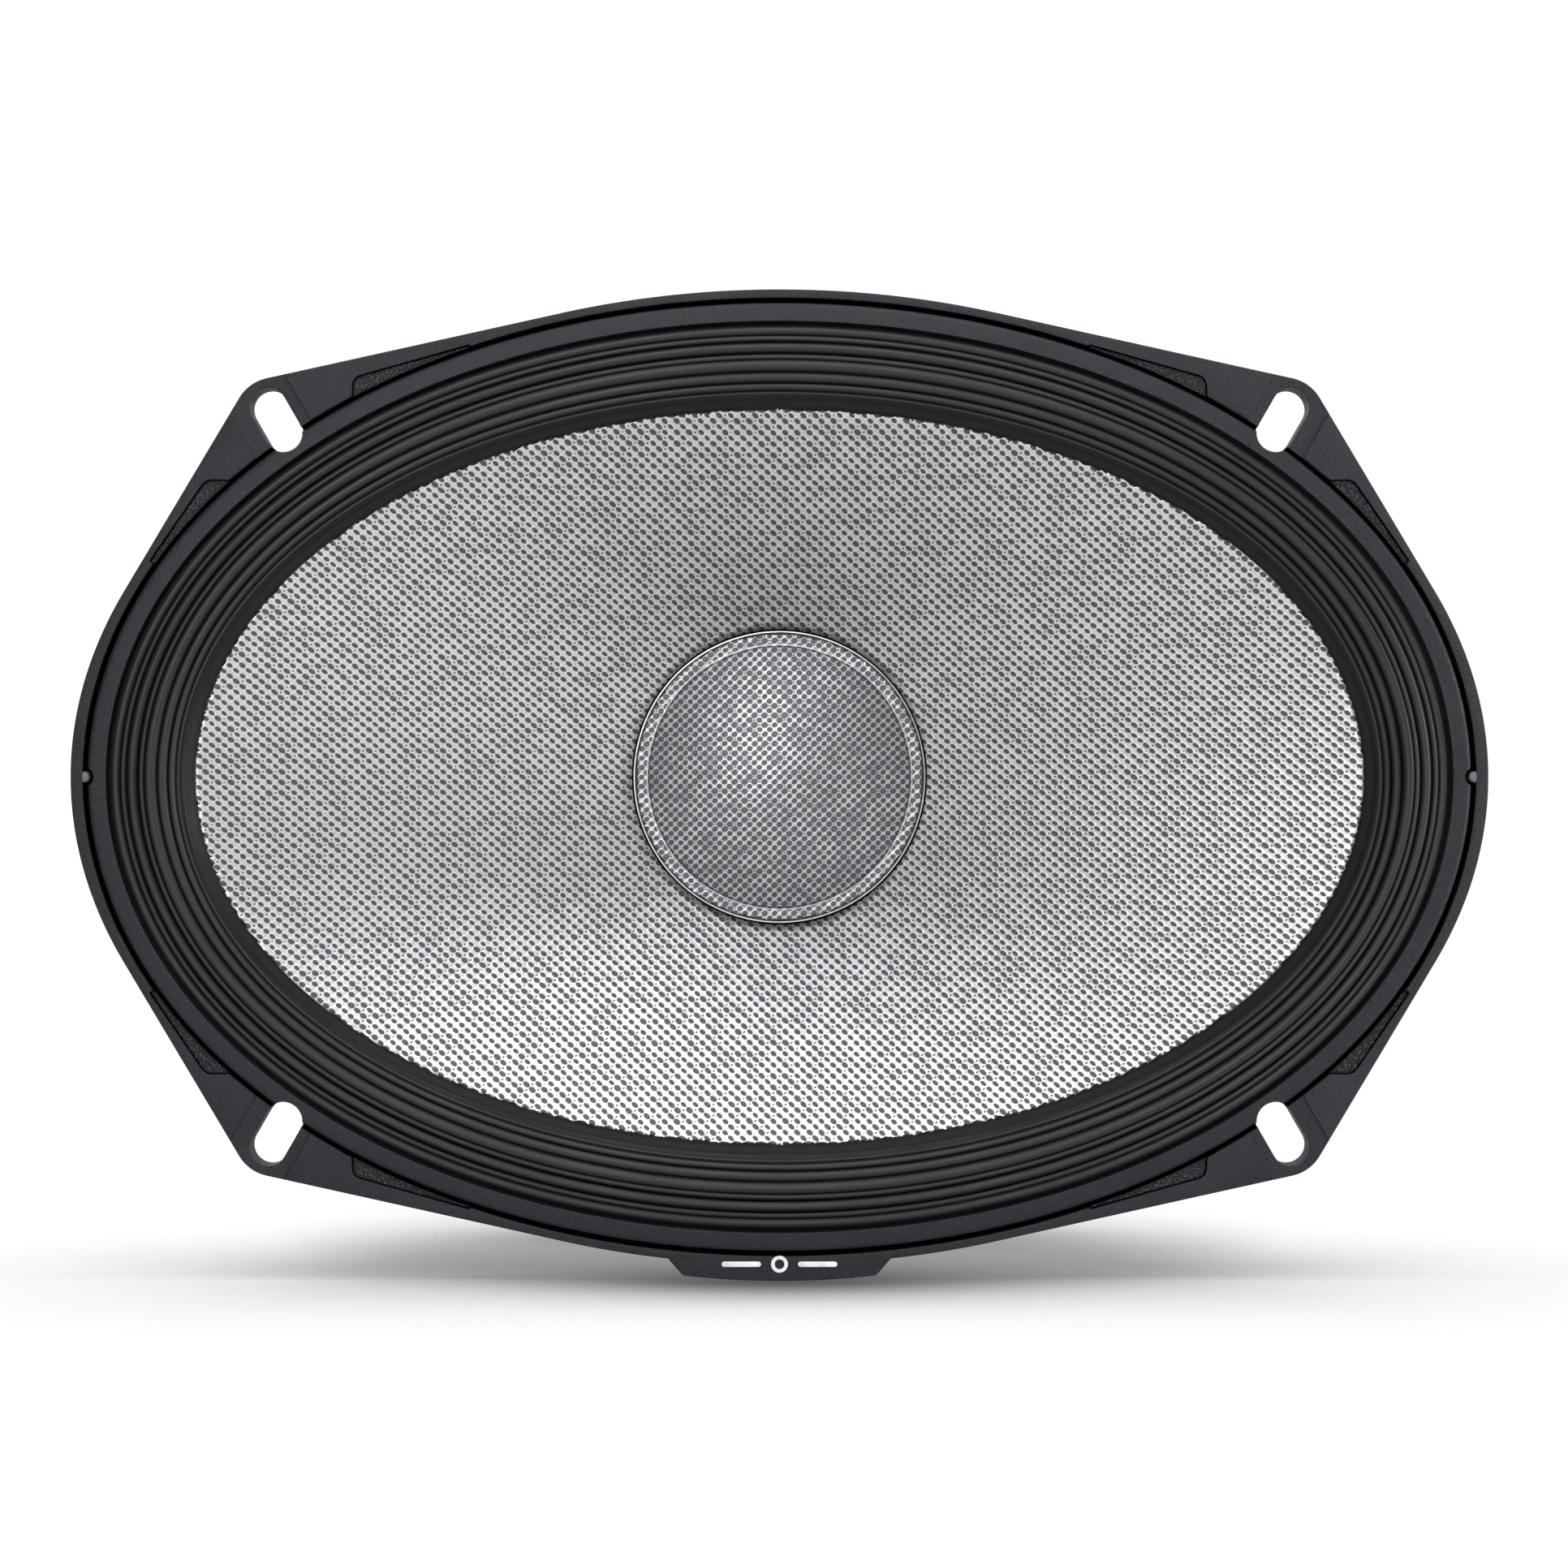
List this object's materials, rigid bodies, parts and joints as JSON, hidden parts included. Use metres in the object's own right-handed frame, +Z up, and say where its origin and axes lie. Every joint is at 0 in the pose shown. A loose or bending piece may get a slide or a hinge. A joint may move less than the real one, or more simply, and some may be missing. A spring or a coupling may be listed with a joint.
{
  "type": "car speaker",
  "caption": "Oval car door or shelf speaker: woven cone in a rubber surround, slotted four-lug basket, ring-magnet motor and two blade terminals.",
  "frame": {"origin": "centre of the flat back of the magnet boot, on the voice coil's axis", "axes": "-Y out of the cone towards the listener, +Y to the back of the motor, +X along the long axis to the right seen from the front, +Z up, away from the foot tab"},
  "size_m": [0.238, 0.0894, 0.1664],
  "materials": {
    "basket": "finely textured matte black",
    "clamp_ring": "matte black",
    "surround": "soft sheen black rubber",
    "cone": "silver and black plain weave, coated",
    "dust_cap": "silver and black plain weave, coated",
    "coil_former": "amber film",
    "coil_winding": "enamelled copper wire",
    "neck_adhesive": "black adhesive",
    "spider": "resin-dipped cloth",
    "tinsel_lead_positive": "braided wire",
    "tinsel_lead_negative": "braided wire",
    "lead_joint_positive": "black adhesive",
    "lead_joint_negative": "black adhesive",
    "top_plate": "zinc-plated steel",
    "magnet": "ground ferrite",
    "yoke": "zinc-plated steel",
    "pole_cap": "bare copper",
    "magnet_boot": "matte black rubber",
    "terminal_board": "black plastic",
    "terminal_positive": "tinned",
    "terminal_negative": "tinned",
    "terminal_rivet_1": "zinc-plated steel",
    "terminal_rivet_2": "zinc-plated steel",
    "motor_screw_1": "black zinc",
    "motor_screw_2": "black zinc",
    "motor_screw_3": "black zinc",
    "motor_screw_4": "black zinc",
    "rear_gasket": "closed-cell foam"
  },
  "bodies": {
    "frame": {"basket": "basket", "clamp_ring": "clamp_ring", "surround": "surround", "spider": "spider", "tinsel_lead_positive": "tinsel_lead_positive", "tinsel_lead_negative": "tinsel_lead_negative", "top_plate": "top_plate", "magnet": "magnet", "yoke": "yoke", "pole_cap": "pole_cap", "magnet_boot": "magnet_boot", "terminal_board": "terminal_board", "terminal_positive": "terminal_positive", "terminal_negative": "terminal_negative", "terminal_rivet_1": "terminal_rivet_1", "terminal_rivet_2": "terminal_rivet_2", "motor_screw_1": "motor_screw_1", "motor_screw_2": "motor_screw_2", "motor_screw_3": "motor_screw_3", "motor_screw_4": "motor_screw_4", "rear_gasket": "rear_gasket"},
    "cone_assembly": {"cone": "cone", "dust_cap": "dust_cap", "coil_former": "coil_former", "coil_winding": "coil_winding", "neck_adhesive": "neck_adhesive", "lead_joint_positive": "lead_joint_positive", "lead_joint_negative": "lead_joint_negative"}
  },
  "joints": [
    {"name": "cone_excursion", "type": "slide", "parent": "frame", "child": "cone_assembly", "axis": [0, -1, 0], "range_m": [-0.006, 0.006], "stiffness_N_per_m": 3000, "deforming": ["surround", "spider", "tinsel_lead_positive", "tinsel_lead_negative"]}
  ]
}
